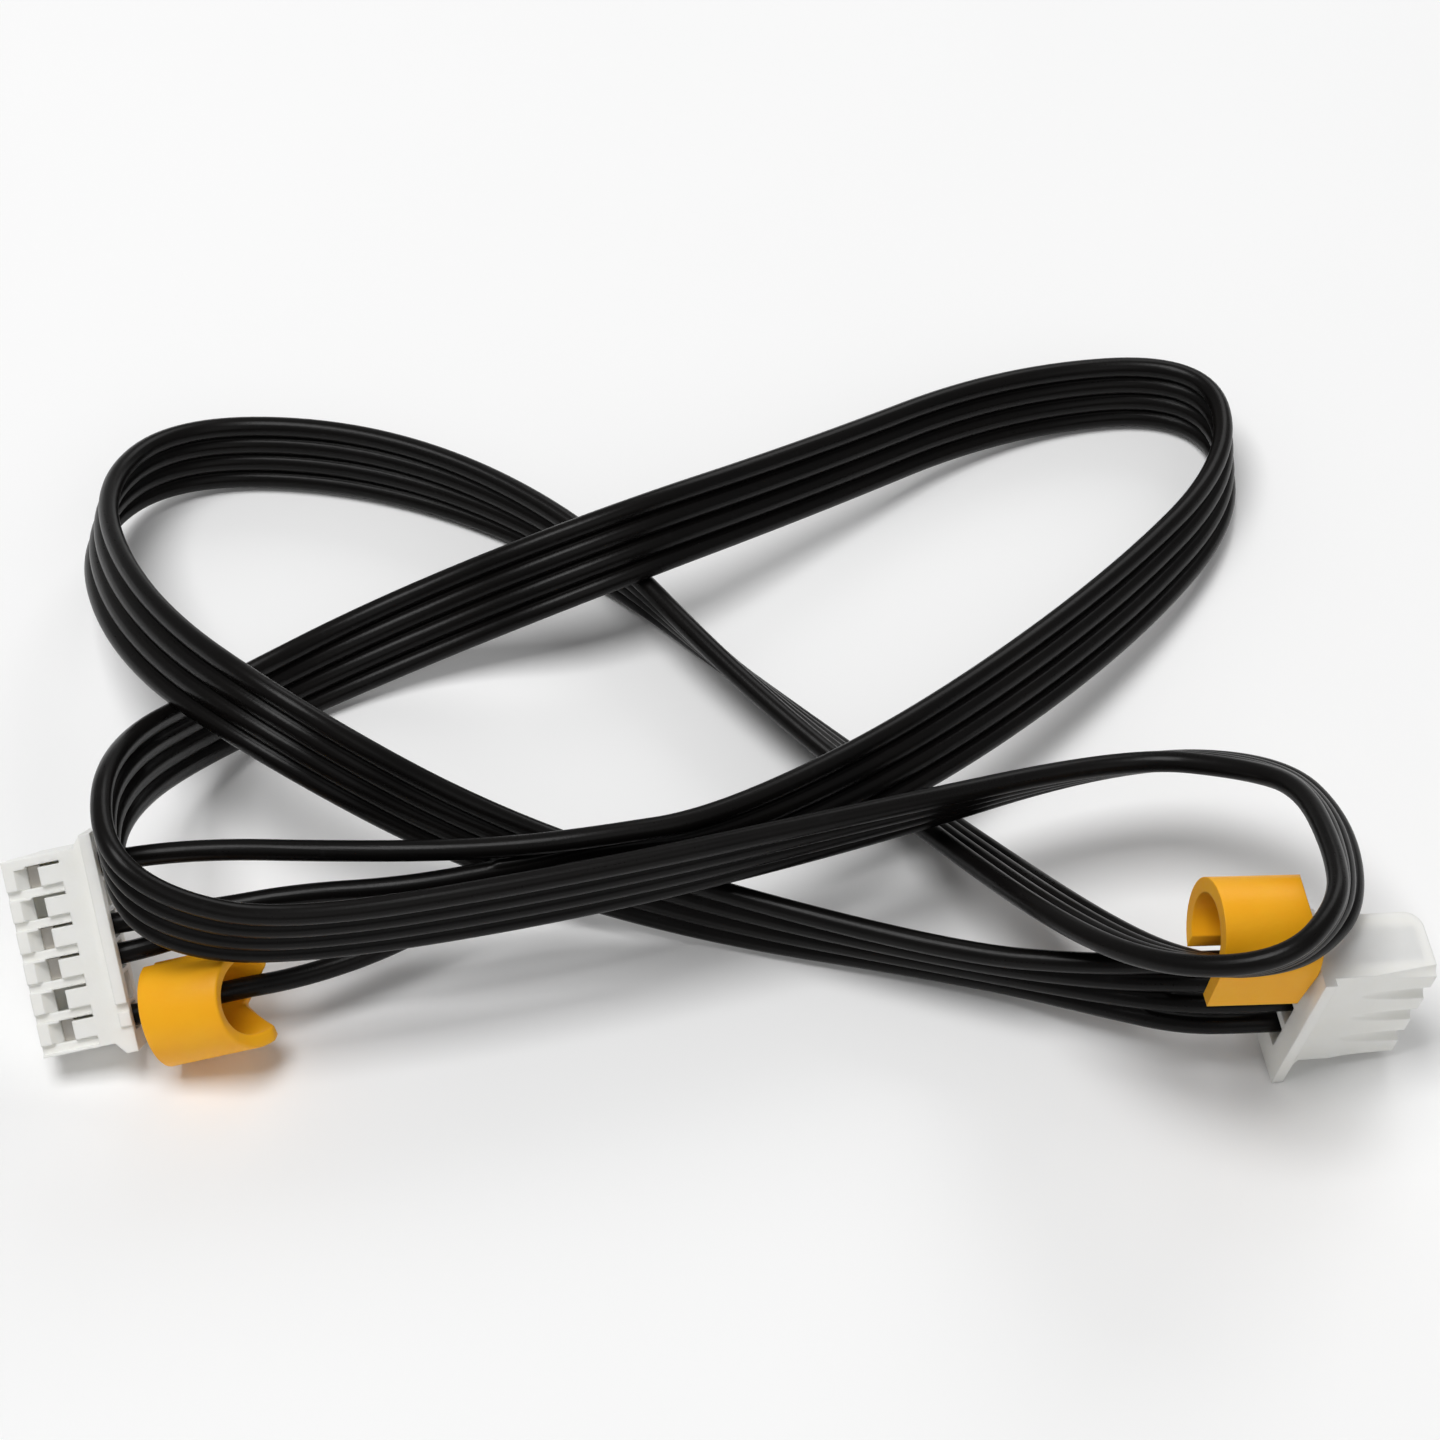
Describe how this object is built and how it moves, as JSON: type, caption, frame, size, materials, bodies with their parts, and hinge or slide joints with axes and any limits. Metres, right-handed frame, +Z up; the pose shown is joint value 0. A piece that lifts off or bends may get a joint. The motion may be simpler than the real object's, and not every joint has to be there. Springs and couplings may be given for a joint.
{
  "type": "stepper motor cable",
  "caption": "Flat four-wire cord lying in loose loops, with a crimp plug for the motor on one end, a crimp plug for the driver board on the other and split marker rings.",
  "frame": {"origin": "On the floor, under the middle of the box round the two plugs and the two marker rings", "axes": "+Z up, +X from the motor plug towards the board plug, +Y away from the plugs, over the loops"},
  "size_m": [0.0902, 0.0651, 0.0191],
  "materials": {
    "plug_nylon": "natural moulded nylon, off-white, slightly translucent",
    "tinned_terminal": "tin-plated phosphor bronze sheet",
    "marker_yellow": "soft yellow vinyl",
    "cord_black": "satin black vinyl insulation"
  },
  "bodies": {
    "root": {"motor_plug_housing": "plug_nylon", "motor_plug_terminal_1": "tinned_terminal", "motor_plug_terminal_3": "tinned_terminal", "motor_plug_terminal_4": "tinned_terminal", "motor_plug_terminal_6": "tinned_terminal", "board_plug_housing": "plug_nylon", "board_plug_terminal_1": "tinned_terminal", "board_plug_terminal_2": "tinned_terminal", "board_plug_terminal_3": "tinned_terminal", "board_plug_terminal_4": "tinned_terminal", "motor_end_marker": "marker_yellow", "board_end_marker": "marker_yellow", "wire_a": "cord_black", "wire_b": "cord_black", "wire_c": "cord_black", "wire_d": "cord_black"}
  },
  "joints": []
}
